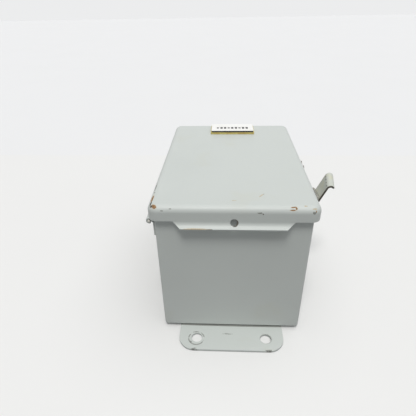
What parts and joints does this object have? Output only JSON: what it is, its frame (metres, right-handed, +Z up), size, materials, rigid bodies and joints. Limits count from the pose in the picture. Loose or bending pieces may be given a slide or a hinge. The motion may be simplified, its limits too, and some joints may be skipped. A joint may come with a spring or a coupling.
{
  "type": "hinged-cover junction box",
  "caption": "Small painted sheet-steel junction box with a hinged cover, swing latch, mounting feet and a terminal strip inside.",
  "frame": {"origin": "bottom centre of the whole object's box, on the plane under the mounting feet", "axes": "+Y along the box, from the front foot to the rear foot; +X from the hinge side to the latch side; +Z up through the cover"},
  "size_m": [0.1406, 0.1962, 0.113],
  "materials": {
    "grey_paint": "satin light grey enamel, chipped at the edges",
    "latch_paint": "worn grey enamel with dark specks",
    "zinc_steel": "zinc plated",
    "galvanised_sheet": "galvanised",
    "gasket_rubber": "matt black",
    "label_plastic": "white face on a black core",
    "label_tape": "yellowed foam tape",
    "terminal_plastic": "grey moulded plastic",
    "earth_green": "green",
    "end_plastic": "black moulded plastic"
  },
  "bodies": {
    "enclosure": {"body_shell": "grey_paint", "foot_front": "grey_paint", "foot_rear": "grey_paint", "hinge_leaf_body": "grey_paint", "hinge_pin": "zinc_steel", "latch_bracket": "grey_paint", "latch_pin": "zinc_steel", "bracket_rivet_1": "zinc_steel", "bracket_rivet_2": "zinc_steel", "sub_panel": "galvanised_sheet", "din_rail": "galvanised_sheet", "rail_screw_1": "zinc_steel", "rail_screw_2": "zinc_steel", "ground_screw": "earth_green", "earth_block": "earth_green", "terminal_end_plate": "end_plastic", "end_stop_1": "end_plastic", "end_stop_2": "end_plastic", "panel_stud_1": "zinc_steel", "panel_nut_1": "zinc_steel", "panel_stud_2": "zinc_steel", "panel_nut_2": "zinc_steel", "panel_stud_3": "zinc_steel", "panel_nut_3": "zinc_steel", "panel_stud_4": "zinc_steel", "panel_nut_4": "zinc_steel", "terminal_block_1": "terminal_plastic", "terminal_block_2": "terminal_plastic", "terminal_block_3": "terminal_plastic", "terminal_block_4": "terminal_plastic", "terminal_block_5": "terminal_plastic", "terminal_block_6": "terminal_plastic", "terminal_block_7": "terminal_plastic", "terminal_block_8": "terminal_plastic"},
    "cover": {"cover": "grey_paint", "gasket": "gasket_rubber", "hinge_leaf_cover": "grey_paint", "strike_plate": "zinc_steel", "strike_rivet_1": "zinc_steel", "strike_rivet_2": "zinc_steel", "label_plate": "label_plastic", "label_tape": "label_tape"},
    "latch": {"latch_lever": "latch_paint", "latch_catch": "zinc_steel", "catch_rivet_1": "zinc_steel", "catch_rivet_2": "zinc_steel"}
  },
  "joints": [
    {"name": "cover_hinge", "type": "hinge", "parent": "enclosure", "child": "cover", "pos_m": [-0.06821, 0, 0.0958], "axis": [0, -1, 0], "range_deg": [0, 180]},
    {"name": "latch_swing", "type": "hinge", "parent": "enclosure", "child": "latch", "pos_m": [0.0419, 0, 0.0503], "axis": [0, 1, 0], "range_deg": [-24.5, 110]}
  ]
}
